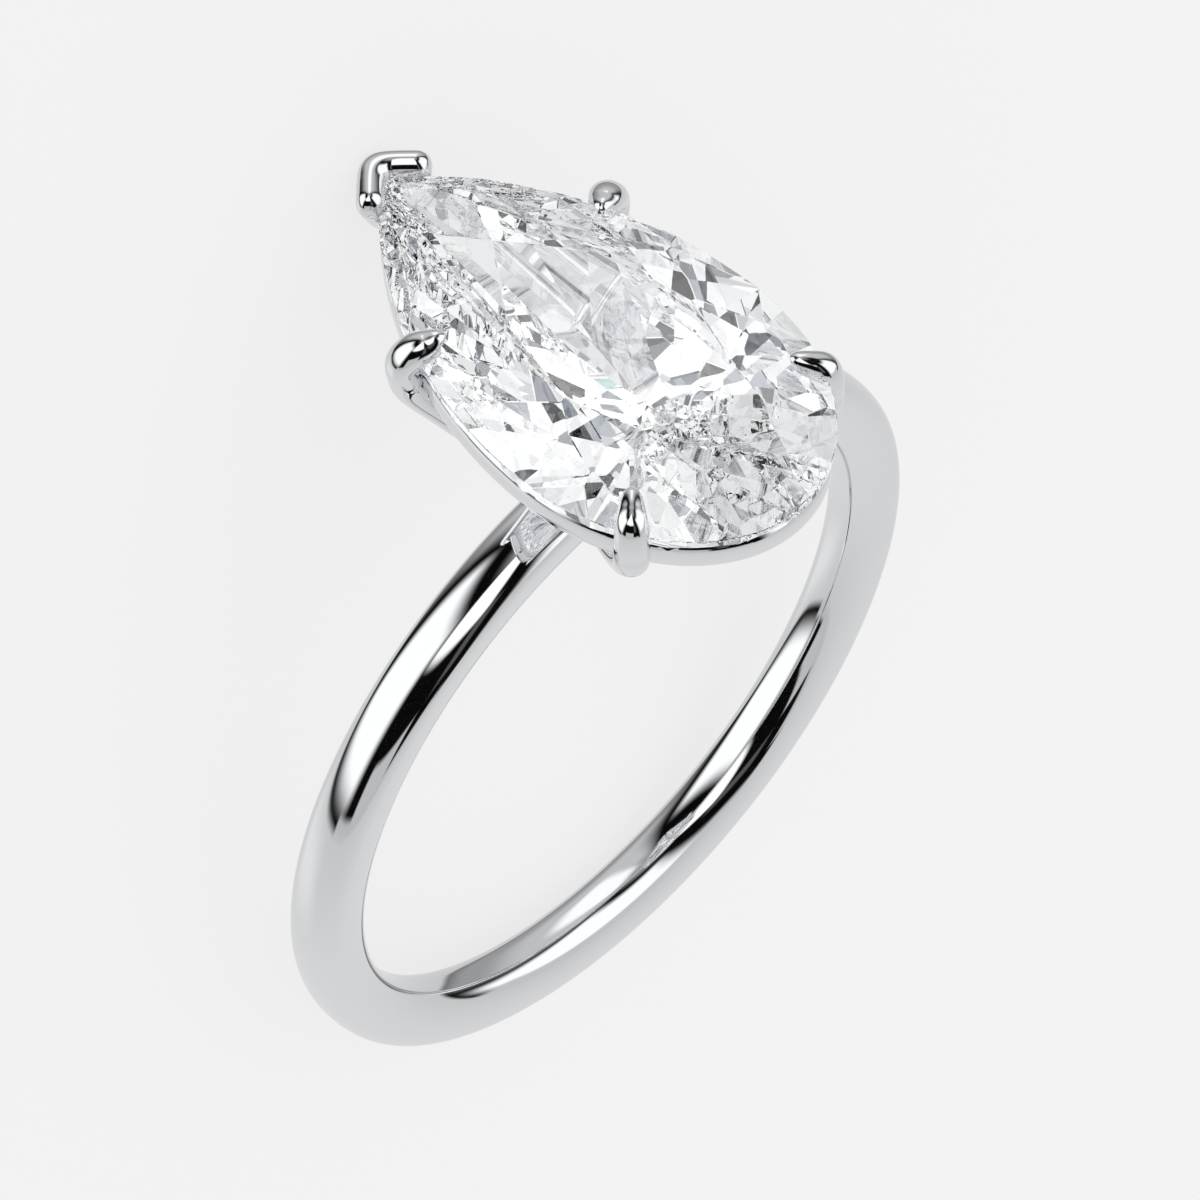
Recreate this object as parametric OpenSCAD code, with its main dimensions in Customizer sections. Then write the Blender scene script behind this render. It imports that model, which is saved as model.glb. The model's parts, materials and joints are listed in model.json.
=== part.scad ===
// Solitaire ring: a slim rounded band, a low basket with four talon claws and a V claw, and one pear-cut stone.
// The band, the gallery rail, the claws and the collar are soldered, so they are one solid. The stone sits in a
// seat cut into them, with a small gap all round. The ring is modelled as it is worn, with x along the stone and
// the finger, y along the width of the stone and z up through the head. It is then laid on its side, where the
// corner of the V claw and the far side of the band touch the ground. The origin is the centre of the finger hole.

/* [Band] */
// Inner diameter of the band, a ring size of 6
finger_d = 16.5; // [15:0.1:20]
// Thickness of the band from the finger to the outside
band_t = 1.63; // [1.5:0.01:2]
// Width of the band at its widest place
band_w = 1.58; // [1.4:0.02:2.2]
// Width of the flat land that touches the finger
land_w = 0.88; // [0.6:0.02:1.2]
// Depth of the widest place under the outside of the band
band_dome = 0.52; // [0.4:0.02:0.8]

/* [Stone] */
// Width of the stone
stone_w = 7.68; // [7.4:0.02:8]
// Length of the stone from its round end to its tip
stone_l = 13.44; // [13:0.02:14]
// Length from the round end to the widest place
round_l = 4.99; // [4.7:0.02:5.3]
// Where the widest place lies along the stone
widest_x = 1.2; // [1:0.1:1.4]
// Where the culet lies along the stone
culet_x = 1.5; // [1.2:0.1:1.6]
// Height of the middle of the girdle over the centre of the finger hole
girdle_z = 13.79; // [13.6:0.01:14.2]
// Thickness of the girdle where it is thickest
girdle_t = 0.28; // [0.24:0.02:0.4]
// Height of the crown from the girdle to the table
crown_h = 0.94; // [0.85:0.01:1.15]
// Depth of the pavilion from the girdle to the culet
pavilion_h = 3.45; // [3:0.01:3.5]
// Size of the table against the girdle
table_ratio = 0.52; // [0.5:0.01:0.6]
// How far the table sits towards the round end
table_shift = 0.2; // [0:0.05:0.3]
// How far down the crown the star facets reach
star_ratio = 0.42; // [0.35:0.01:0.5]
// How far down the pavilion the lower girdle facets reach
lower_ratio = 0.76; // [0.6:0.01:0.8]

/* [Setting] */
// Gap between the stone and its seat, as a share of the stone's size
seat_gap = 0.012; // [0.008:0.001:0.02]
// Distance from the girdle in to the outer face of the gallery rail
rail_inset = 0.14; // [0.05:0.01:0.2]
// Wall thickness of the gallery rail
rail_t = 0.5; // [0.4:0.02:0.7]
// Height of the gallery rail
rail_h = 1.06; // [0.8:0.02:1.2]
// Depth of the top of the rail under the middle of the girdle
rail_drop = 0.2; // [0.15:0.01:0.3]
// Half the width of a claw where it passes the girdle
claw_half_w = 0.4; // [0.34:0.01:0.44]
// Length of each arm of the V claw
v_arm = 1.2; // [1:0.05:1.8]
// Distance from the girdle out to the outer face of the V claw
v_out = 0.47; // [0.4:0.01:0.55]
// Radius of the collar that joins the claws to the band
collar_r = 1.2; // [1:0.05:1.4]

/* [Hidden] */

finger_r = finger_d / 2;
band_r = finger_r + band_t;
MAINS = 8;          // main facets round the crown, and again round the pavilion
RIM_STEPS = 8;      // flats of the girdle from one main facet to the next
HALF_STEPS = RIM_STEPS / 2;
RIM = MAINS * RIM_STEPS;

// The wings of the stone are arcs that meet at the tip.
half_w = stone_w / 2;
wing_l = stone_l - round_l;
wing_r = (wing_l * wing_l + half_w * half_w) / (2 * half_w);
wing_a = asin(wing_l / wing_r);
tip_x = widest_x - wing_l;
miter = 1 / cos(90 - wing_a);
eighth_of_wing = wing_r * wing_a * PI / 180 / 2;

girdle_top = girdle_t / 2;
table_z = girdle_top + crown_h;
culet_z = -girdle_top - pavilion_h;
star_z = table_z - star_ratio * crown_h;
lower_z = -girdle_top - lower_ratio * pavilion_h;

function unit(v) = v / norm(v);
function at_z(p, z) = [p[0], p[1], z];
function wrap(u) = u < 0 ? u + MAINS : u >= MAINS ? u - MAINS : u;

// The girdle line. u is 0 at the round end, 2 at the widest place, 4 at the tip, and 6 at the widest place again.
function half_rim(u) = u <= 2
    ? [widest_x + round_l * cos(45 * u), half_w * sin(45 * u)]
    : [widest_x - wing_r * sin(wing_a * (u - 2) / 2), half_w - wing_r * (1 - cos(wing_a * (u - 2) / 2))];
function half_rim_out(u) = u == 4 ? [-1, 0]
    : u <= 2 ? unit([cos(45 * u) / round_l, sin(45 * u) / half_w])
    : [-sin(wing_a * (u - 2) / 2), cos(wing_a * (u - 2) / 2)];
function flip(p) = [p[0], -p[1]];
function rim(u) = u <= 4 ? half_rim(u) : flip(half_rim(MAINS - u));
function rim_out(u) = u <= 4 ? half_rim_out(u) : flip(half_rim_out(MAINS - u));
function stretch(u) = u == 4 ? miter : 1;

// A plane is [normal, offset]. A main facet holds the girdle's tangent at u and one more point.
function plane_of(a, b, c) = let (n = unit(cross(b - a, c - a))) [n, n * a];
function main_plane(u, z, apex) = let (p = at_z(rim(u), z), o = rim_out(u))
    plane_of(p, p + [-o[1], o[0], 0], apex);
function plane_z(plane, p) = (plane[1] - plane[0][0] * p[0] - plane[0][1] * p[1]) / plane[0][2];
function meet(a, b, z) = let (
    ka = a[1] - a[0][2] * z, kb = b[1] - b[0][2] * z,
    d = a[0][0] * b[0][1] - a[0][1] * b[0][0])
    [(ka * b[0][1] - kb * a[0][1]) / d, (a[0][0] * kb - b[0][0] * ka) / d, z];

// The corners of the facets: the table, the foot of each star, the head of each lower girdle pair, and the culet.
function table_corner(i) = at_z(rim(wrap(i)) * table_ratio + [table_shift, 0], table_z);
culet = [culet_x, 0, culet_z];
crown_planes = [for (i = [0:MAINS - 1]) main_plane(i, girdle_top, table_corner(i))];
pavilion_planes = [for (i = [0:MAINS - 1]) main_plane(i, -girdle_top, culet)];
star_feet = [for (i = [0:MAINS - 1]) meet(crown_planes[i], crown_planes[wrap(i + 1)], star_z)];
lower_heads = [for (i = [0:MAINS - 1]) meet(pavilion_planes[i], pavilion_planes[wrap(i + 1)], lower_z)];

// Height at a girdle corner k of the girdle facet that reaches it from the point apex
function facet_z(k, z, apexes) = let (
    h = floor(k / HALF_STEPS), a = rim(h / 2), b = rim((h + 1) / 2))
    plane_z(plane_of(at_z(a, z), at_z(b, z), apexes[floor(k / RIM_STEPS)]), rim(k / RIM_STEPS));

module pear_brilliant() {
    tops = [for (k = [0:RIM - 1]) at_z(rim(k / RIM_STEPS), facet_z(k, girdle_top, star_feet))];
    feet = [for (k = [0:RIM - 1]) at_z(rim(k / RIM_STEPS), facet_z(k, -girdle_top, lower_heads))];
    star = MAINS;
    top = star + MAINS;
    foot = top + RIM;
    low = foot + RIM;
    corners = concat([for (i = [0:MAINS - 1]) table_corner(i)], star_feet, tops, feet, lower_heads, [culet]);
    table = [[for (i = [MAINS - 1:-1:0]) i]];
    stars = [for (i = [0:MAINS - 1]) [wrap(i + 1), star + i, i]];
    kites = [for (i = [0:MAINS - 1]) [star + i, top + i * RIM_STEPS, star + wrap(i - 1), i]];
    upper = [for (h = [0:2 * MAINS - 1])
        [for (k = [HALF_STEPS:-1:0]) top + (h * HALF_STEPS + k) % RIM, star + floor(h / 2)]];
    wall = [for (k = [0:RIM - 1]) [top + k, top + (k + 1) % RIM, foot + (k + 1) % RIM, foot + k]];
    lower = [for (h = [0:2 * MAINS - 1])
        [low + floor(h / 2), each [for (k = [0:HALF_STEPS]) foot + (h * HALF_STEPS + k) % RIM]]];
    mains = [for (i = [0:MAINS - 1]) [low + wrap(i - 1), foot + i * RIM_STEPS, low + i, low + MAINS]];
    polyhedron(corners, concat(table, stars, kites, upper, wall, lower, mains));
}

// Joins rings of points into one closed solid. A loop joins its last ring to its first and has no ends.
module loft(rings, loop = false) {
    n = len(rings[0]);
    m = len(rings);
    spans = loop ? m - 1 : m - 2;
    sides = [for (i = [0:spans]) for (j = [0:n - 1]) let (a = i * n, b = (i + 1) % m * n, k = (j + 1) % n)
        each [[a + j, b + j, b + k], [a + j, b + k, a + k]]];
    ends = loop ? [] : [[for (j = [0:n - 1]) j], [for (j = [n - 1:-1:0]) (m - 1) * n + j]];
    polyhedron([for (ring = rings) each ring], concat(ends, sides));
}

// A smooth row at s between rows b and c, where a and d are their neighbours
function between(a, b, c, d, s) = b + (c - a) * s / 2
    + (2 * a - 5 * b + 4 * c - d) * s * s / 2 + (3 * b - a - 3 * c + d) * s * s * s / 2;
function smooth_rows(rows, steps) = let (last = len(rows) - 1) concat(
    [for (i = [0:last - 1]) for (s = [0:steps - 1])
        between(rows[max(i - 1, 0)], rows[i], rows[i + 1], rows[min(i + 2, last)], s / steps)],
    [rows[last]]);

// A wire with an oval section: each row is x, y, z, half width and half thickness, and across is its width's way.
WIRE_SIDES = 12;
module wire(rows, across) {
    last = len(rows) - 1;
    centre = [for (r = rows) [r[0], r[1], r[2]]];
    loft([for (i = [0:last]) let (
        along = unit(centre[min(i + 1, last)] - centre[max(i - 1, 0)]),
        up = unit(cross(along, across)))
        [for (j = [0:WIRE_SIDES - 1]) let (a = 360 * j / WIRE_SIDES)
            centre[i] + across * rows[i][3] * cos(a) + up * rows[i][4] * sin(a)]]);
}

// Band: a flat land inside, flanks that widen outwards, and a rounded outside.
DOME_STEPS = 7;
DOME_POWER = 2.2;
function dome(a) = [
    band_w / 2 * pow(sin(a), 2 / DOME_POWER),
    band_r - band_dome + band_dome * pow(cos(a), 2 / DOME_POWER)];
function flank(a) = let (depth = (band_t - band_dome) / sin(acos(land_w / band_w)))
    [band_w / 2 * cos(a), band_r - band_dome - depth * sin(a)];
half_section = concat(
    [for (i = [0:DOME_STEPS]) dome(90 * i / DOME_STEPS)],
    [for (i = [1:DOME_STEPS]) flank(acos(land_w / band_w) * i / DOME_STEPS)]);
module band() {
    section = concat(
        [for (p = half_section) [p[1], p[0]]],
        [for (i = [len(half_section) - 1:-1:1]) [half_section[i][1], -half_section[i][0]]]);
    rotate([0, 90, 0]) rotate_extrude($fn = 180) polygon(section);
}

// Gallery rail: a rounded wall under the girdle, all the way round the stone. The two rim points next to the tip are
// left out, because their inner sides would cross.
RAIL_CORNER = 0.3;  // share of each side that its rounded corner takes
module gallery_rail() {
    outer = -rail_inset;
    inner = outer - rail_t;
    high = -rail_drop;
    low = high - rail_h;
    cut_w = rail_t * RAIL_CORNER;
    cut_h = rail_h * RAIL_CORNER;
    section = [
        [outer, low + cut_h], [outer - cut_w / 3, low + cut_h / 3], [outer - cut_w, low],
        [inner + cut_w, low], [inner, low + cut_h],
        [inner, high - cut_h], [inner + cut_w, high],
        [outer - cut_w, high], [outer - cut_w / 3, high - cut_h / 3], [outer, high - cut_h]];
    loft([
        for (k = [0:RIM - 1]) if (abs(k - 4 * RIM_STEPS) != 1)
            let (u = k / RIM_STEPS, p = rim(u), o = rim_out(u) * stretch(u))
                [for (s = section) at_z(p + o * s[0], s[1])]], loop = true);
}

// Claws: the columns are where the claw crosses the girdle, the compass angle that it leans out at, how far its
// tip reaches in over the crown, how far its middle stands out there, and the x of its foot on the band. Each row
// makes one claw and its mirror image.
CLAWS = [
    [[4.03, 3.16], 45.4, 0.79, 0.08, 0.4],
    [[-2.91, 3.06], 122, 0.54, 0.32, -0.4]];
CLAW_FOOT_Y = 0.95;
CLAW_FOOT_Z = 9.35;
// Stations over the girdle, from the tip: shares of the reach in and of the stand out, height over the middle of
// the girdle, and half width and half thickness as shares of the claw's half width.
TALON = [
    [1, 0, 0.6, 0.18, 0.5],
    [0.85, 0, 0.6, 0.5, 0.6],
    [0.5, 0, 0.52, 0.8, 0.82],
    [0.12, 0.35, 0.38, 0.96, 0.86],
    [0, 1, 0.02, 1, 0.8],
    [0, 0.85, -0.45, 1, 0.8],
    [0.1, 0.45, -1, 0.97, 0.82]];
// Stations from the girdle to the foot: share of the way in, share of the way down, and the two half sizes.
STEM = [
    [0.2, 0.42, 0.9, 0.84],
    [0.52, 0.68, 0.78, 0.72],
    [1, 1, 0.72, 0.66]];
function claw_rows(claw, foot) = let (
    p = claw[0], out = [cos(claw[1]), sin(claw[1])], down = foot[2] - girdle_z,
    talon = [for (t = TALON) let (q = p + out * (t[1] * claw[3] - t[0] * claw[2]))
        [q[0], q[1], t[2], t[3] * claw_half_w, t[4] * claw_half_w]],
    stem = [for (t = STEM)
        [p[0] + (foot[0] - p[0]) * t[0], p[1] + (foot[1] - p[1]) * t[0], down * t[1],
            t[2] * claw_half_w, t[3] * claw_half_w]])
    concat(talon, stem);
module talon_claw(claw) {
    foot = [claw[4], CLAW_FOOT_Y, CLAW_FOOT_Z];
    wire(smooth_rows(claw_rows(claw, foot), 2), [-sin(claw[1]), cos(claw[1]), 0]);
}

// V claw: a bent wall round the tip. The columns are height, outer face against the girdle line as a share of its
// greatest distance (below 0 it ends inside the rail), inner face, and the length of the arms as a share.
V_LEVELS = [
    [-0.62, -0.5, -0.36, 0.8],
    [-0.36, 0.2, -0.3, 0.87],
    [-0.1, 0.66, -0.2, 0.94],
    [0.3, 1, -0.16, 1],
    [0.52, 0.9, -0.13, 0.98],
    [0.62, 0.62, -0.02, 0.92]];
V_STEPS = 4;
V_CORNER_STEPS = 6;
V_CORNER_R = 0.06;  // least radius of the corner
function v_ring(level) = let (
    reach = v_arm * level[3] / eighth_of_wing, out = level[1] * v_out, in = level[2],
    side = [for (i = [0:V_STEPS - 1]) 4 - reach * (1 - i / V_STEPS)],
    outer_side = [for (u = side) rim(u) + rim_out(u) * out],
    round_r = max(out, V_CORNER_R),
    corner = [for (i = [0:V_CORNER_STEPS]) let (a = 90 + wing_a + (180 - 2 * wing_a) * i / V_CORNER_STEPS)
        [tip_x + (round_r - out) * miter + round_r * cos(a), round_r * sin(a)]],
    back = V_STEPS - 1,
    inner_side = [for (i = [0:back - 1]) rim(side[i]) + rim_out(side[i]) * in])
    [for (p = concat(
        outer_side, corner, [for (i = [back:-1:0]) flip(outer_side[i])],
        [for (p = inner_side) flip(p)], [[tip_x - in * miter, 0]], [for (i = [back - 1:-1:0]) inner_side[i]]))
        at_z(p, level[0])];
module v_claw() {
    loft([for (level = V_LEVELS) v_ring(level)]);
}

// Strut: carries the V claw down under the stone to the collar. Same columns as a wire's rows.
module v_strut() {
    foot = CLAW_FOOT_Z - girdle_z;
    rows = [
        [tip_x - 0.02, 0, -0.2, 0.3, 0.26],
        [tip_x + 0.18, 0, -0.85, 0.32, 0.28],
        [tip_x + 1.1, 0, foot * 0.42, 0.32, 0.28],
        [tip_x + 3.4, 0, foot * 0.68, 0.3, 0.27],
        [-0.5, 0, foot, 0.3, 0.27]];
    wire(smooth_rows(rows, 3), [0, 1, 0]);
}

// Collar: the small round foot on top of the band that all the claws run into.
COLLAR_EDGE = 0.25;
module collar() {
    low = band_r - 0.75;
    high = band_r + 0.04;
    translate([0, 0, -girdle_z]) rotate_extrude($fn = 40) polygon([
        [0, low], [collar_r - COLLAR_EDGE, low], [collar_r, low + COLLAR_EDGE],
        [collar_r, high - COLLAR_EDGE], [collar_r - COLLAR_EDGE, high], [0, high]]);
}

// The ring lies on its side, on the V claw's corner and the far side of the band. Both lists are x and z.
corner_points = [for (level = V_LEVELS) [tip_x - level[1] * v_out, girdle_z + level[0]]];
far_points = [for (p = half_section) [-p[0], -p[1]]];
function lean(v) = min([for (p = far_points) atan((p[0] - v[0]) / (v[1] - p[1]))]);
tilt = max([for (v = corner_points) lean(v)]);
module lay_down() {
    rotate([-tilt, 0, 0]) rotate([90, -90, 0]) children();
}

// Head: the rail, claws, strut and collar, cut out where the stone sits
module head() {
    translate([0, 0, girdle_z]) difference() {
        union() {
            gallery_rail();
            for (claw = CLAWS, side = [0, 1]) mirror([0, side, 0]) talon_claw(claw);
            v_claw();
            v_strut();
            collar();
        }
        scale(1 + seat_gap) pear_brilliant();
    }
}

module band_and_setting() {
    color("gainsboro") lay_down() union() {
        band();
        head();
    }
}

module stone() {
    color("aliceblue") lay_down() translate([0, 0, girdle_z]) pear_brilliant();
}

band_and_setting();
stone();
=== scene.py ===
"""Dresses the solitaire ring: smooth polished gold over the plain solids, a clear diamond, floor, light and camera."""

import json
import math

import bmesh
import bpy
from mathutils import Matrix, Vector


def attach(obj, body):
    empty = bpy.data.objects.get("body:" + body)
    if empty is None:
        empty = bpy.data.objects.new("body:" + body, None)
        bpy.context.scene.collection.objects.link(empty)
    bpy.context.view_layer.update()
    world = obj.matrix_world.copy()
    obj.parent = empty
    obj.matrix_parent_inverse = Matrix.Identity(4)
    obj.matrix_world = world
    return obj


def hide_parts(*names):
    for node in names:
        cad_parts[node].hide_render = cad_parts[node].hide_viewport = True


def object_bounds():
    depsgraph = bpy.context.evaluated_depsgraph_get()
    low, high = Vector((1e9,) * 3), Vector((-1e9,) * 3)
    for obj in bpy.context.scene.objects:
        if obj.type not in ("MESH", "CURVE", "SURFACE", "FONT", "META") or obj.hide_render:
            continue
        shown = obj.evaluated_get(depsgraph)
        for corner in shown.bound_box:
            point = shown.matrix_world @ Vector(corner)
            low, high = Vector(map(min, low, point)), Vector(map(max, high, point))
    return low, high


MM = 0.001

# ---------------------------------------------------------------- frame and directions

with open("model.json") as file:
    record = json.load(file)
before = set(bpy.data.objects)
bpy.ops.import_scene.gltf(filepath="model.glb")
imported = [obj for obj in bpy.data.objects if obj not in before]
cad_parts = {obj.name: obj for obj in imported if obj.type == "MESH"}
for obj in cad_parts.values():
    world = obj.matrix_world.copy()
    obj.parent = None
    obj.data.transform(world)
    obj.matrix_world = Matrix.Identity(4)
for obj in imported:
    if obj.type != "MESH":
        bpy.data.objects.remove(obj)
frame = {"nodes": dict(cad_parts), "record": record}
cad_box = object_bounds()

# The ring is modelled as it is worn, in millimetres: x along the finger, y along the width of the stone, z up
# through the head. finger_axis is where that x points as the ring lies on its side.
finger_axis = Vector(frame["record"]["mounts"][0]["axis"])
WORN_TO_LYING = Matrix((
    (0, -1, 0),
    (finger_axis.y, 0, -finger_axis.z),
    (finger_axis.z, 0, finger_axis.y),
))


def lying(v):
    """A direction, or a point in millimetres, of the worn ring, turned to how the ring lies."""
    return WORN_TO_LYING @ Vector(v)


# ---------------------------------------------------------------- sizes of the ring, in mm

FINGER_R = 8.25
BAND_T = 1.63
BAND_R = FINGER_R + BAND_T
BAND_W = 1.58
BAND_DOME = 0.52  # how much of the thickness is dome

STONE_W = 7.68
STONE_L = 13.44
ROUND_L = 4.99  # from the widest line to the round end
WIDEST_X = 1.2
GIRDLE_Z = 13.79

# The girdle line is half an ellipse at the round end, and an arc on each side that runs to the tip.
HALF_W = STONE_W / 2
WING_L = STONE_L - ROUND_L
WING_R = (WING_L**2 + HALF_W**2) / (2 * HALF_W)
WING_A = math.asin(WING_L / WING_R)
TIP_X = WIDEST_X - WING_L
MITER = 1 / math.sin(WING_A)


def rim(u):
    """A point on the girdle line and the way out from it. u is 0 at the round end, 2 at the side and 4 at the tip."""
    side = 1
    u %= 8
    if u > 4:
        u, side = 8 - u, -1
    if u <= 2:
        a = math.radians(45 * u)
        point = Vector((WIDEST_X + ROUND_L * math.cos(a), side * HALF_W * math.sin(a)))
        out = Vector((math.cos(a) / ROUND_L, side * math.sin(a) / HALF_W)).normalized()
    else:
        a = WING_A * (u - 2) / 2
        point = Vector((WIDEST_X - WING_R * math.sin(a), side * (HALF_W - WING_R * (1 - math.cos(a)))))
        out = Vector((-math.sin(a), side * math.cos(a)))
    if abs(u - 4) < 1e-9:  # both sides meet there, and the way out is their miter
        out = Vector((-MITER, 0))
    return point, out


# ---------------------------------------------------------------- mesh helpers

SHARP = 40  # degrees between faces that leave an edge sharp
MERGE = 1e-5  # mm between points that are one
CAD_MERGE = 1e-7  # the same in the CAD meshes, in metres


def add_object(name, bm):
    """Makes an object of a mesh, and frees the bmesh."""
    mesh = bpy.data.meshes.new(name)
    bm.to_mesh(mesh)
    bm.free()
    made = bpy.data.objects.new(name, mesh)
    bpy.context.scene.collection.objects.link(made)
    return made


def shade_smooth(mesh, sharp=SHARP):
    """Shades a mesh smooth, but for its sharp edges."""
    for face in mesh.polygons:
        face.use_smooth = True
    mesh.set_sharp_from_angle(angle=math.radians(sharp))


def piece(name, bm, sharp=SHARP):
    """Makes an object of a mesh that was built in worn millimetres, laid down."""
    bmesh.ops.remove_doubles(bm, verts=bm.verts, dist=MERGE)
    bmesh.ops.transform(bm, matrix=Matrix.Scale(MM, 4) @ WORN_TO_LYING.to_4x4(), verts=bm.verts)
    made = add_object(name, bm)
    shade_smooth(made.data, sharp)
    return made


def ring_of(bm, points):
    """Adds a closed loop of edges through the points."""
    verts = [bm.verts.new(p) for p in points]
    return verts, [bm.edges.new((a, b)) for a, b in zip(verts, verts[1:] + verts[:1])]


def skin(bm, rings, loop=False):
    """Joins loops of equally many points into one surface, and closes its ends unless it loops."""
    made = [ring_of(bm, points) for points in rings]
    for (_, a), (_, b) in zip(made, made[1:] + made[:1] if loop else made[1:]):
        bmesh.ops.bridge_loops(bm, edges=a + b)
    if not loop:
        for verts, _ in (made[0], made[-1]):
            bm.faces.new(verts)
    bmesh.ops.recalc_face_normals(bm, faces=bm.faces)


def smooth_rows(rows, steps):
    """Rows on a smooth curve through the given ones."""
    last = len(rows) - 1
    made = []
    for i in range(last):
        a, b, c, d = rows[max(i - 1, 0)], rows[i], rows[i + 1], rows[min(i + 2, last)]
        for k in range(steps):
            s = k / steps
            made.append([
                q + (r - p) * s / 2 + (2 * p - 5 * q + 4 * r - t) * s * s / 2 + (3 * q - p - 3 * r + t) * s**3 / 2
                for p, q, r, t in zip(a, b, c, d)
            ])
    return made + [list(rows[last])]


def smooth_loop(rows, steps):
    """Rows on a smooth closed curve through the given ones."""
    return smooth_rows(rows[-1:] + rows + rows[:2], steps)[steps : -steps - 1]


WIRE_SIDES = 24


def wire(bm, rows, across):
    """Skins an oval wire. A row is x, y, z, half width and half thickness, and across is the width's way."""
    across = Vector(across)
    centre = [Vector(row[:3]) for row in rows]
    last = len(rows) - 1
    rings = []
    for i, (_, _, _, half_w, half_t) in enumerate(rows):
        along = (centre[min(i + 1, last)] - centre[max(i - 1, 0)]).normalized()
        up = along.cross(across).normalized()
        rings.append([
            centre[i]
            + across * half_w * math.cos(math.tau * j / WIRE_SIDES)
            + up * half_t * math.sin(math.tau * j / WIRE_SIDES)
            for j in range(WIRE_SIDES)
        ])
    skin(bm, rings)


# ---------------------------------------------------------------- the stone

SEAT_SCALE = 1.012  # the stone's room in the metal, against the stone
# Each row shaves a tier of small facets off the stone's ridges: how many all round, the compass angle of the first,
# how steeply they look up (down, below 0), and how deep they are cut.
TIERS = (
    (22, 4, -49.5, 0.03),
    (26, 0, -54, 0.03),
    (20, 3, 62, 0.03),
    (18, 0, 68, 0.03),
)
FACET_FLAT = 0.3  # degrees between triangles of one facet, at most
EDGE_FLAT = 0.03  # width of the polished flat along a crown edge
EDGE_LEAST = 3  # degrees between two facets whose edge gets one
CROWN_START = 0.05  # over the girdle


def cad_stone():
    """A copy of the CAD stone's mesh, merged."""
    bm = bmesh.new()
    bm.from_mesh(frame["nodes"]["stone"].data)
    bmesh.ops.remove_doubles(bm, verts=bm.verts, dist=CAD_MERGE)
    return bm


def shave(bm, way, reach):
    """Cuts off what lies farther than reach along way, and closes the cut with one facet."""
    cut = bmesh.ops.bisect_plane(
        bm, geom=bm.verts[:] + bm.edges[:] + bm.faces[:], dist=1e-9, plane_co=way * reach, plane_no=way,
        clear_outer=True,
    )["geom_cut"]
    bmesh.ops.contextual_create(bm, geom=[e for e in cut if isinstance(e, bmesh.types.BMEdge)])


def make_stone():
    """The CAD stone with more facets, which break its light up finer: two tiers on the pavilion, two on the crown, and
    a flat along each edge of the crown."""
    bm = cad_stone()
    bmesh.ops.dissolve_limit(bm, angle_limit=math.radians(FACET_FLAT), verts=bm.verts, edges=bm.edges)
    for count, first, steep, depth in TIERS:
        for i in range(count):
            compass, slope = math.radians(first + 360 * i / count), math.radians(steep)
            way = lying((math.cos(compass) * math.cos(slope), math.sin(compass) * math.cos(slope), math.sin(slope)))
            shave(bm, way, max(v.co.dot(way) for v in bm.verts) - depth * MM)
    bmesh.ops.recalc_face_normals(bm, faces=bm.faces)
    up = lying((0, 0, 1))
    flats = []
    for edge in bm.edges:
        one, other = (face.normal for face in edge.link_faces)
        angle = one.angle(other)
        if angle > math.radians(EDGE_LEAST) and all(
            v.co.dot(up) > (GIRDLE_Z + CROWN_START) * MM for v in edge.verts
        ):
            way = (one + other).normalized()
            flats.append((way, edge.verts[0].co.dot(way) - EDGE_FLAT / 2 * MM * math.tan(angle / 2)))
    for way, reach in flats:
        shave(bm, way, reach)
    bmesh.ops.recalc_face_normals(bm, faces=bm.faces)
    return add_object("stone_cut", bm)


def seat_cutter():
    """The stone a little larger, to cut its room out of the metal."""
    bm = cad_stone()
    centre = lying((0, 0, GIRDLE_Z)) * MM
    grow = Matrix.Translation(centre) @ Matrix.Scale(SEAT_SCALE, 4) @ Matrix.Translation(-centre)
    bmesh.ops.transform(bm, matrix=grow, verts=bm.verts)
    made = add_object("seat_cutter", bm)
    made.hide_render = True
    return made


def cut_seat(made, cutter):
    """Takes the stone's room out of a piece of metal, so that none shows inside the clear stone."""
    cut = made.modifiers.new("seat", "BOOLEAN")
    cut.object = cutter
    cut.operation = "DIFFERENCE"
    cut.solver = "EXACT"
    bpy.context.view_layer.update()
    graph = bpy.context.evaluated_depsgraph_get()
    mesh = bpy.data.meshes.new_from_object(made.evaluated_get(graph))
    made.modifiers.clear()
    made.data = mesh
    shade_smooth(mesh)


# ---------------------------------------------------------------- the metal

BAND_TURNS = 288
BAND_STEPS = 14  # along each half of the section, outside and inside
DOME_POWER = 2.2  # of the superellipses: 2 is an ellipse, and more is squarer
SHOULDER_POWER = 2.6


def make_band():
    """A rounded section spun round the finger: a dome outside, and inside a nearly flat face with soft shoulders."""
    springing = BAND_R - BAND_DOME
    curves = []
    for depth, power in ((BAND_DOME, DOME_POWER), (BAND_DOME - BAND_T, SHOULDER_POWER)):
        angles = [math.pi / 2 * i / BAND_STEPS for i in range(BAND_STEPS)]
        curves.append([
            (BAND_W / 2 * math.sin(a) ** (2 / power), springing + depth * math.cos(a) ** (2 / power)) for a in angles
        ])
    outside, inside = curves
    half = outside + [(BAND_W / 2, springing)] + inside[::-1]
    loop = half + [(-x, r) for x, r in half[-2:0:-1]]
    bm = bmesh.new()
    verts, edges = ring_of(bm, [(x, 0, r) for x, r in loop])
    bmesh.ops.spin(
        bm, geom=verts + edges, cent=(0, 0, 0), axis=(1, 0, 0), angle=math.tau, steps=BAND_TURNS, use_merge=True
    )
    bmesh.ops.recalc_face_normals(bm, faces=bm.faces)
    return piece("band", bm, sharp=60)


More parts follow.
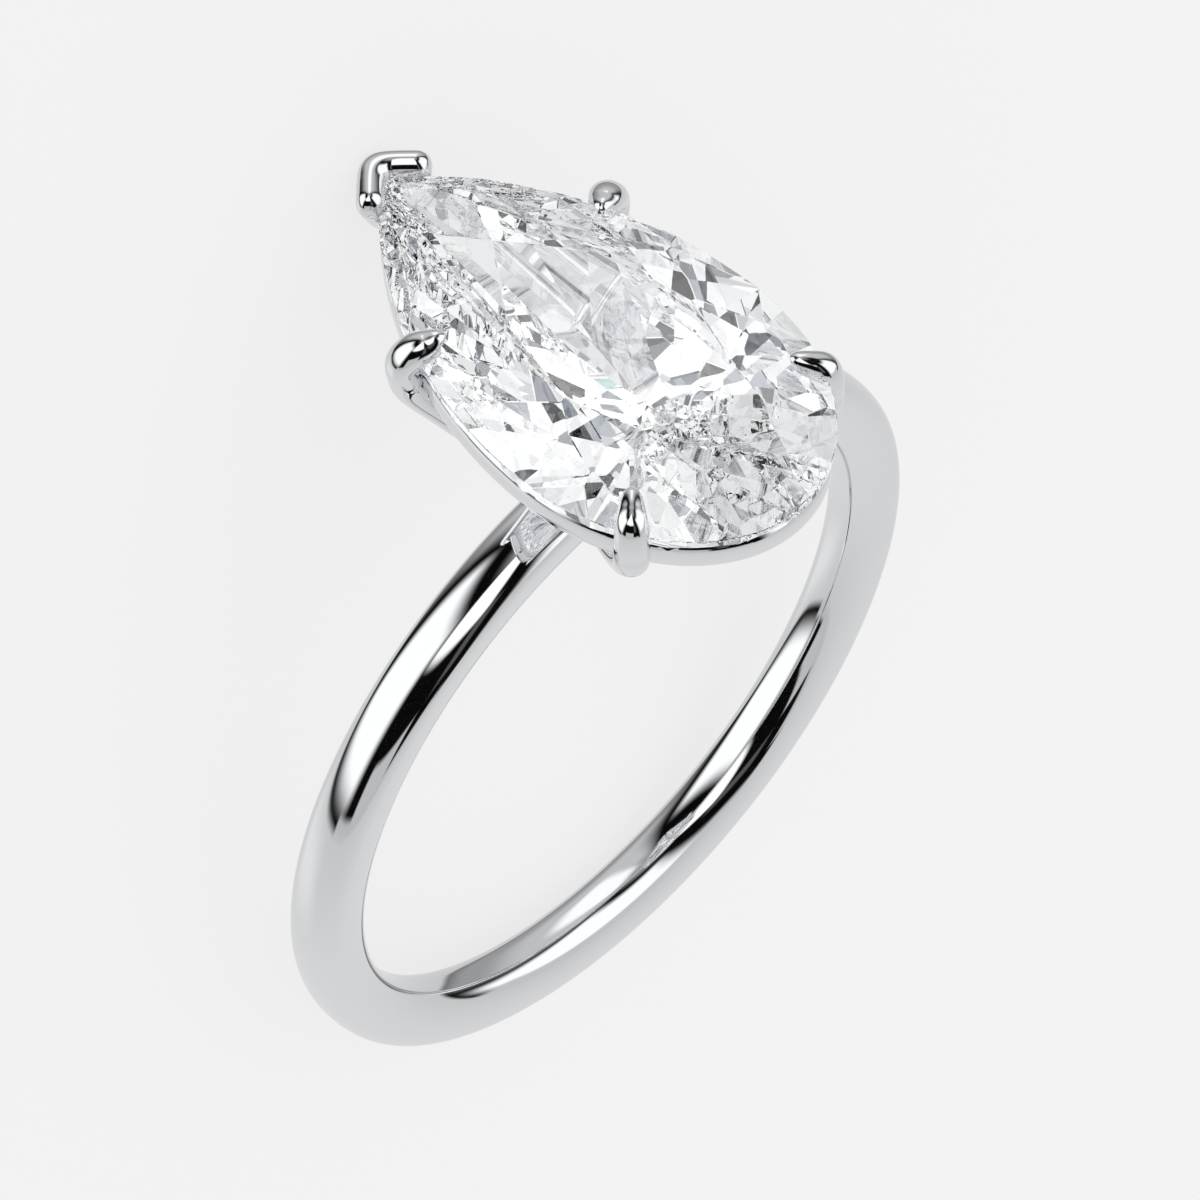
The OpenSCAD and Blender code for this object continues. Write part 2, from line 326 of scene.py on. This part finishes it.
RAIL_INSET = 0.03  # from the girdle line
RAIL_T = 0.56
RAIL_H = 0.84
RAIL_DROP = 0.17  # from the girdle
RAIL_ROUND = 0.25
RAIL_ROUND_STEPS = 4
RAIL_STEPS = 20  # round the stone, per eighth
RAIL_TIP_GAP = 2  # steps left out on each side of the tip, so that its corner is one plain miter


def rounded_box(outer, inner, low, high, radius):
    """The corners of a rail's section, rounded, as distances out and heights."""
    made = []
    for x, z, start in ((outer, low, 270), (outer, high, 0), (inner, high, 90), (inner, low, 180)):
        cx = x - radius if x == outer else x + radius
        cz = z + radius if z == low else z - radius
        for i in range(RAIL_ROUND_STEPS + 1):
            a = math.radians(start + 90 * i / RAIL_ROUND_STEPS)
            made.append((cx + radius * math.cos(a), cz + radius * math.sin(a)))
    return made


def make_rail():
    """A rounded wall under the girdle, all the way round the stone."""
    outer, high = -RAIL_INSET, -RAIL_DROP
    section = rounded_box(outer, outer - RAIL_T, high - RAIL_H, high, RAIL_ROUND)
    tip = 4 * RAIL_STEPS
    rings = []
    for k in range(2 * tip):
        if 0 < abs(k - tip) <= RAIL_TIP_GAP:
            continue
        point, out = rim(k / RAIL_STEPS)
        rings.append([(*(point + out * x), GIRDLE_Z + z) for x, z in section])
    bm = bmesh.new()
    skin(bm, rings, loop=True)
    return piece("gallery_rail", bm)


# Where the claw crosses the girdle, the compass angle it leans out at, how far its tip reaches in, how far its middle
# stands out, the x of its foot on the band, and half its width. Each makes one claw and its mirror image.
CLAWS = (
    ("round_end", (4.03, 3.16), 45.4, 0.79, 0.08, 0.4, 0.4),
    ("wing", (-2.91, 3.06), 122, 0.54, 0.36, -0.4, 0.46),
)
CLAW_STEPS = 6
FOOT_Y = 0.95
FOOT_Z = 9.35 - GIRDLE_Z  # where the wires meet, from the girdle
# From the tip: shares of the reach in and of the stand out, height over the girdle, and the half width and half
# thickness as shares of the claw's half width.
TALON = (
    (1, 0, 0.6, 0.32, 0.5),
    (0.86, 0, 0.62, 0.6, 0.66),
    (0.5, 0, 0.52, 0.8, 0.82),
    (0.12, 0.35, 0.38, 0.96, 0.86),
    (0, 1, 0.02, 1, 0.8),
    (0, 0.9, -0.42, 1.02, 0.84),
    (0.06, 0.5, -0.95, 1, 0.86),
)
# On down to the foot: shares of the way in and of the way down, and the two half sizes.
STEM = ((0.2, 0.42, 0.9, 0.84), (0.52, 0.68, 0.78, 0.72), (1, 1, 0.72, 0.66))


def make_claw(name, base, compass, reach, stand, foot_x, half_w, side):
    """A tapered wire from the foot, out past the girdle and in over the crown."""
    a = math.radians(compass)
    base, out, foot = Vector(base), Vector((math.cos(a), math.sin(a))), Vector((foot_x, FOOT_Y))
    rows = []
    for inward, outward, z, w, t in TALON:
        at = base + out * (outward * stand - inward * reach)
        rows.append([*at, GIRDLE_Z + z, w * half_w, t * half_w])
    for inward, down, w, t in STEM:
        rows.append([*base.lerp(foot, inward), GIRDLE_Z + FOOT_Z * down, w * half_w, t * half_w])
    bm = bmesh.new()
    wire(bm, smooth_rows(rows, CLAW_STEPS), (-out.y, out.x, 0))
    if side < 0:
        bmesh.ops.scale(bm, vec=(1, -1, 1), verts=bm.verts)
        bmesh.ops.recalc_face_normals(bm, faces=bm.faces)
    return piece(f"claw_{name}_{'left' if side > 0 else 'right'}", bm, sharp=50)


V_ARM = 1.3
V_FILLET = 0.36  # radius of the girdle line's corner as the bar follows it
V_BULGE = 0.17  # how much farther out the bar's outside is at the corner, as a share
# Once round the bar: distance out from the girdle line, height over the girdle, and the length of the arm there as a
# share of V_ARM
V_SECTION = (
    (-0.2, -0.93, 0.75),
    (0.08, -0.78, 0.79),
    (0.26, -0.42, 0.87),
    (0.38, -0.1, 0.95),
    (0.5, 0.2, 1),
    (0.47, 0.42, 0.99),
    (0.36, 0.58, 0.97),
    (0.18, 0.64, 0.95),
    (0, 0.57, 0.95),
    (-0.12, 0.42, 0.97),
    (-0.18, 0.2, 0.98),
    (-0.23, -0.1, 0.94),
    (-0.27, -0.5, 0.84),
)
V_SECTION_STEPS = 3
V_MIDDLE = Vector((0.14, 0.1))  # what the section shrinks towards at the arms' domed ends
V_END_SHARE = 0.93  # what the arm's shares draw together to there
V_END_ROUND = 0.55  # length of the domed end
V_END_STEPS = (0.005, 0.03, 0.09, 0.18, 0.32, 0.5, 0.75, 1)  # shares of that length
V_ARM_STEPS = 8
V_CORNER_STEPS = 14
V_SEARCH_STEP = 0.01


def fillet_start():
    """Where on the girdle line the V claw's bar starts to turn: there its pivot is just short of the middle line."""
    u = 4
    while True:
        u -= V_SEARCH_STEP
        point, way = rim(u)
        if (point - way * V_FILLET).y > 0:
            return u, point - way * V_FILLET, way


def make_v_claw():
    """A rounded bar bent round the tip, with tapered and domed arms."""
    section = smooth_loop(V_SECTION, V_SECTION_STEPS)
    eighth = WING_R * WING_A / 2  # length of the girdle line for 1 of u
    corner, pivot, way = fillet_start()
    turn = math.atan2(way.y, way.x)
    corner_at = (4 - corner) * eighth
    domed = V_END_ROUND / V_ARM
    stations = [domed * share for share in V_END_STEPS]
    stations += [domed + (1 - domed) * i / V_ARM_STEPS for i in range(1, V_ARM_STEPS)]
    half = []
    for s in stations:
        shrink = math.sqrt(1 - (1 - min(s / domed, 1)) ** 2)
        ring = []
        for out, z, share in section:
            o, h = V_MIDDLE + (Vector((out, z)) - V_MIDDLE) * shrink
            share = V_END_SHARE + (share - V_END_SHARE) * shrink
            at = corner_at + (V_ARM * share - corner_at) * (1 - s)
            point, way = rim(4 - at / eighth)
            ring.append((*(point + way * o), h))
        half.append(ring)
    for i in range(V_CORNER_STEPS + 1):
        a = turn + (math.pi - turn) * i / V_CORNER_STEPS
        bulge = V_BULGE * (1 - math.cos(math.pi * i / V_CORNER_STEPS)) / 2
        ring = []
        for out, z, _ in section:
            r = V_FILLET + out + max(out, 0) * bulge
            ring.append((pivot.x + r * math.cos(a), r * math.sin(a) * (i < V_CORNER_STEPS), z))
        half.append(ring)
    rings = half + [[(x, -y, z) for x, y, z in ring] for ring in half[-2::-1]]
    bm = bmesh.new()
    skin(bm, [[(x, y, GIRDLE_Z + z) for x, y, z in ring] for ring in rings])
    return piece("v_claw", bm, sharp=70)


# From the tip down to the foot: x, height from the girdle, half width and half thickness
STRUT = (
    (TIP_X - 0.02, -0.2, 0.3, 0.26),
    (TIP_X + 0.18, -0.85, 0.32, 0.28),
    (TIP_X + 1.1, FOOT_Z * 0.42, 0.32, 0.28),
    (TIP_X + 3.4, FOOT_Z * 0.68, 0.3, 0.27),
    (-0.5, FOOT_Z, 0.3, 0.27),
)
STRUT_STEPS = 8


def make_strut():
    """The wire that carries the V claw."""
    rows = [[x, 0, GIRDLE_Z + z, w, t] for x, z, w, t in STRUT]
    bm = bmesh.new()
    wire(bm, smooth_rows(rows, STRUT_STEPS), (0, 1, 0))
    return piece("v_strut", bm, sharp=50)


COLLAR_R = 1.2
COLLAR_LOW = BAND_R - 0.75
COLLAR_HIGH = BAND_R + 0.04
COLLAR_ROUND = 0.25
COLLAR_SIDES = 48


def make_collar():
    """A disc with rounded edges on top of the band, where the wires meet."""
    bm = bmesh.new()
    bmesh.ops.create_cone(
        bm, cap_ends=True, segments=COLLAR_SIDES, radius1=COLLAR_R, radius2=COLLAR_R,
        depth=COLLAR_HIGH - COLLAR_LOW,
    )
    bmesh.ops.translate(bm, vec=(0, 0, (COLLAR_HIGH + COLLAR_LOW) / 2), verts=bm.verts)
    rims = [e for e in bm.edges if abs(e.verts[0].co.z - e.verts[1].co.z) < 1e-6]
    bmesh.ops.bevel(
        bm, geom=rims, offset=COLLAR_ROUND, affect="EDGES", segments=5, profile=0.5, material=-1,
        clamp_overlap=True,
    )
    return piece("collar", bm)


# ---------------------------------------------------------------- materials


def linear(hex_colour, bright=1):
    """An sRGB hex colour as the linear colour that shaders work in, made that many times as bright."""
    channels = [int(hex_colour[i : i + 2], 16) / 255 for i in (0, 2, 4)]
    return (*[bright * (c / 12.92 if c <= 0.04045 else ((c + 0.055) / 1.055) ** 2.4) for c in channels], 1)


def node(tree, kind, settings=None, inputs=None):
    """Adds a node, sets its properties, and gives each input a value or a link."""
    made = tree.nodes.new(kind)
    for key, value in (settings or {}).items():
        setattr(made, key, value)
    for key, value in (inputs or {}).items():
        if isinstance(value, bpy.types.NodeSocket):
            tree.links.new(value, made.inputs[key])
        else:
            made.inputs[key].default_value = value
    return made


def new_material(name):
    """A material with no nodes yet, and its node tree."""
    material = bpy.data.materials.new(name)
    material.use_nodes = True
    material.node_tree.nodes.clear()
    return material, material.node_tree


# Length of a hairline along each of the lying ring's axes, in mm. Real ones are some hundredths of a millimetre wide:
# these are coarser, so that they show.
HAIRLINES = (1.11, 0.111, 0.25)


def polished_white_gold():
    """White gold, rhodium plated and buffed: a cool mirror, with hairlines of the polishing wheel that only soften
    the edges of what it reflects."""
    material, tree = new_material("polished_white_gold")
    place = node(tree, "ShaderNodeTexCoord")
    stretch = node(tree, "ShaderNodeMapping", inputs={
        "Vector": place.outputs["Object"], "Scale": [1 / (length * MM) for length in HAIRLINES]
    })
    hairlines = node(tree, "ShaderNodeTexNoise", inputs={
        "Vector": stretch.outputs["Vector"], "Scale": 1.0, "Detail": 3.0
    })
    rough = node(tree, "ShaderNodeMapRange", inputs={
        "Value": hairlines.outputs["Fac"], "From Min": 0.35, "From Max": 0.75, "To Min": 0.02, "To Max": 0.06
    })
    bump = node(tree, "ShaderNodeBump", inputs={
        "Height": hairlines.outputs["Fac"], "Strength": 0.02, "Distance": 0.002 * MM
    })
    shader = node(tree, "ShaderNodeBsdfPrincipled", inputs={
        "Base Color": linear("EDEEF0"), "Metallic": 1.0,
        "Roughness": rough.outputs["Result"], "Normal": bump.outputs["Normal"],
    })
    node(tree, "ShaderNodeOutputMaterial", inputs={"Surface": shader.outputs["BSDF"]})
    return material


def cut_diamond():
    """Diamond, faceted and polished: clear, bends light hard, and mirrors it back off the facets underneath."""
    material, tree = new_material("cut_diamond")
    shader = node(tree, "ShaderNodeBsdfPrincipled", inputs={
        "Base Color": linear("FDFEFF"), "Roughness": 0.0, "IOR": 2.417, "Transmission Weight": 1.0,
    })
    node(tree, "ShaderNodeOutputMaterial", inputs={"Surface": shader.outputs["BSDF"]})
    return material


def backlit_acrylic():
    """Matt white acrylic lit from behind: even and bright, and shadows on it stay faint."""
    material, tree = new_material("backlit_white_acrylic")
    shader = node(tree, "ShaderNodeBsdfPrincipled", inputs={
        "Base Color": linear("595959"), "Roughness": 0.9, "Specular IOR Level": 0.0,
        "Emission Color": linear("FFFFFF"), "Emission Strength": 0.793,
    })
    node(tree, "ShaderNodeOutputMaterial", inputs={"Surface": shader.outputs["BSDF"]})
    return material


# ---------------------------------------------------------------- build


CLEAR_OF_STONE = ("band", "collar")


def dress(made, material, replaced):
    """Gives a piece its material, says what it rides on, and hides the plain solid that it stands for."""
    made.data.materials.clear()
    made.data.materials.append(material)
    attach(made, "root")
    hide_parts(replaced)


cutter = seat_cutter()
gold = polished_white_gold()
metal = [make_band(), make_rail(), make_v_claw(), make_strut(), make_collar()]
metal += [make_claw(*row, side) for row in CLAWS for side in (1, -1)]
for made in metal:
    if made.name not in CLEAR_OF_STONE:
        cut_seat(made, cutter)
    dress(made, gold, "band_and_setting")
bpy.data.objects.remove(cutter)
dress(make_stone(), cut_diamond(), "stone")

# ---------------------------------------------------------------- floor

FLOOR_HALF = 1.5

bm = bmesh.new()
bmesh.ops.create_grid(bm, x_segments=2, y_segments=2, size=FLOOR_HALF)
bmesh.ops.translate(bm, vec=(0, 0, cad_box[0].z), verts=bm.verts)
floor = add_object("floor", bm)
floor.data.materials.append(backlit_acrylic())
floor.visible_glossy = False
floor.visible_transmission = False

# ---------------------------------------------------------------- light

# What polished metal mirrors: a dark room with softboxes over a white sweep, laid out round the ring as worn. Angles
# are degrees: azimuth from the studio's front, and elevation. A row is azimuth, half width, elevation, half height,
# edge softness and brightness, and a later one covers the ones before it.
STUDIO_TURN = 172  # from the ring's x to the studio's front
ROOM = 0.003
PANELS = (
    (0, 200, 90, 12, 20, 0.45),  # ceiling
    (-38, 46, 8, 20, 22, 0.36),  # foot of the wall behind the ring
    (-38, 46, 46, 30, 24, 0.6),  # wall
    (-38, 20, 56, 17, 12, 1.15),  # its lit middle
    (59.5, 31.5, 25.5, 28.5, 15, 1.17),  # main softbox
    (-134, 34, 28, 31, 16, 1.16),  # its twin on the other side
    (-144, 27, -6, 10, 8, 0.62),  # and the glow under that
    (129, 31, 66, 23, 8, 1.2),  # softbox overhead
    (164, 6, 28, 16, 6, 0.1),  # dark stand between the softboxes
    (133, 20, -3, 13, 5, 0.57),  # low reflector
    (133, 48, -11, 4, 4, 0.55),  # strip along the sweep's edge
)
SWEEP_PATCH = ((50, 22, -32, 12, 24, 0.86),)  # where the main softbox falls on the sweep
SWEEP_NEAR, SWEEP_FAR = -60, -16  # between these elevations its brightness goes from near to far
SWEEP_METAL = (0.755, 0.65)  # near and far, as the metal mirrors it
SWEEP_STONE = (0.9, 0.8)  # and as the stone draws it in
HORIZON = -13
HORIZON_SOFT = 5
# What the stone draws its light from: a tent of many panels, most of them white, some grey or tinted and a few black.
# A row is where it starts in the run of panels, its brightness and its tint.
TENT_CELLS = 9
TENT_SHIFT = (-1.76, -3.49, 1.51)
TENT = (
    (0.0, 0.0, "FFFFFF"),
    (0.11, 0.1, "AEBEDA"),
    (0.15, 0.4, "DDE6F2"),
    (0.22, 0.68, "EAF0F7"),
    (0.32, 0.9, "FFFFFF"),
    (0.44, 0.85, "C6ECE8"),
    (0.444, 1.12, "FFFFFF"),
    (0.724, 1.25, "FFFFFF"),
)

world = bpy.data.worlds.new("studio")
bpy.context.scene.world = world
world.use_nodes = True
tree = world.node_tree
tree.nodes.clear()


def maths(operation, *values):
    """The result of one sum on numbers or sockets."""
    return node(tree, "ShaderNodeMath", {"operation": operation}, dict(enumerate(values))).outputs["Value"]


def mix(share, under, over):
    """Lays one colour over another by a share."""
    return node(tree, "ShaderNodeMix", {"data_type": "RGBA"}, {0: share, 6: under, 7: over}).outputs[2]


def smooth_step(value, none, full):
    """Goes smoothly from 0 at none to 1 at full."""
    return node(tree, "ShaderNodeMapRange", {"interpolation_type": "SMOOTHSTEP"}, {
        "Value": value, "From Min": none, "From Max": full, "To Min": 0.0, "To Max": 1.0
    }).outputs["Result"]


def hang(panels, shown):
    """Lays the panels over what is shown there."""
    for at_azimuth, half_width, at_elevation, half_height, soft, bright in panels:
        across, up = (
            smooth_step(maths("ABSOLUTE", maths("SUBTRACT", angle, middle)), half + soft / 2, half - soft / 2)
            for angle, middle, half in ((azimuth, at_azimuth, half_width), (elevation, at_elevation, half_height))
        )
        shown = mix(maths("MULTIPLY", across, up), shown, linear("FFFFFF", bright))
    return shown


def over_sweep(sky, near, far):
    """Puts the white sweep under a sky."""
    sweep = node(tree, "ShaderNodeMapRange", inputs={
        "Value": elevation, "From Min": SWEEP_NEAR, "From Max": SWEEP_FAR, "To Min": near, "To Max": far
    }).outputs["Result"]
    return mix(smooth_step(elevation, HORIZON + HORIZON_SOFT / 2, HORIZON - HORIZON_SOFT / 2), sky, sweep)


way = node(tree, "ShaderNodeTexCoord").outputs["Generated"]
turned = math.radians(STUDIO_TURN)
front, left, up = (
    node(tree, "ShaderNodeVectorMath", {"operation": "DOT_PRODUCT"}, {0: way, 1: lying(axis)}).outputs["Value"]
    for axis in ((math.cos(turned), math.sin(turned), 0), (-math.sin(turned), math.cos(turned), 0), (0, 0, 1))
)
azimuth = maths("DEGREES", maths("ARCTAN2", left, front))
elevation = maths("DEGREES", maths("ARCSINE", up))

in_metal = hang(SWEEP_PATCH, over_sweep(hang(PANELS, (ROOM, ROOM, ROOM, 1)), *SWEEP_METAL))

shifted = node(tree, "ShaderNodeVectorMath", {"operation": "ADD"}, {0: way, 1: TENT_SHIFT}).outputs["Vector"]
cells = node(tree, "ShaderNodeTexVoronoi", inputs={"Vector": shifted, "Scale": TENT_CELLS})
draw = node(tree, "ShaderNodeSeparateColor", inputs={"Color": cells.outputs["Color"]}).outputs[0]
tent = node(tree, "ShaderNodeValToRGB", inputs={"Fac": draw})
tent.color_ramp.interpolation = "CONSTANT"
for i, (start, bright, tint) in enumerate(TENT):
    stop = tent.color_ramp.elements[i] if i < 2 else tent.color_ramp.elements.new(start)
    stop.position = start
    stop.color = linear(tint, bright)
in_stone = over_sweep(tent.outputs["Color"], *SWEEP_STONE)

# Matt things get plain white light from all round.
path = node(tree, "ShaderNodeLightPath")
light = mix(path.outputs["Is Glossy Ray"], linear("FFFFFF"), in_metal)
light = mix(path.outputs["Is Transmission Ray"], light, in_stone)
background = node(tree, "ShaderNodeBackground", inputs={"Color": light, "Strength": 1.0})
node(tree, "ShaderNodeOutputWorld", inputs={"Surface": background.outputs["Background"]})

# ---------------------------------------------------------------- camera

# The photograph's view of the ring: the camera's right and down ways and its place, as the ring is worn
CAMERA_RIGHT = (0.710703, 0.703475, 0.004820)
CAMERA_DOWN = (0.574728, -0.576655, -0.580652)
CAMERA_AT = (93.211, -95.476, 191.336)
LENS_MM = 292.754
SENSOR_MM = 36

right, down = lying(CAMERA_RIGHT), lying(CAMERA_DOWN)
turn = Matrix((right, -down, right.cross(-down))).transposed()
camera = bpy.data.cameras.new("camera")
camera.lens = LENS_MM
camera.sensor_width = SENSOR_MM
camera.clip_start = 0.01
camera.clip_end = 10
camera_object = bpy.data.objects.new("camera", camera)
camera_object.matrix_world = Matrix.Translation(lying(CAMERA_AT) * MM) @ turn.to_4x4()
bpy.context.scene.collection.objects.link(camera_object)
bpy.context.scene.camera = camera_object

# ---------------------------------------------------------------- render settings of the scene

scene = bpy.context.scene
scene.view_settings.view_transform = "Standard"
scene.cycles.max_bounces = 32
scene.cycles.glossy_bounces = 24
scene.cycles.transmission_bounces = 32
scene.cycles.caustics_reflective = False
scene.cycles.caustics_refractive = False
scene.cycles.use_denoising = True
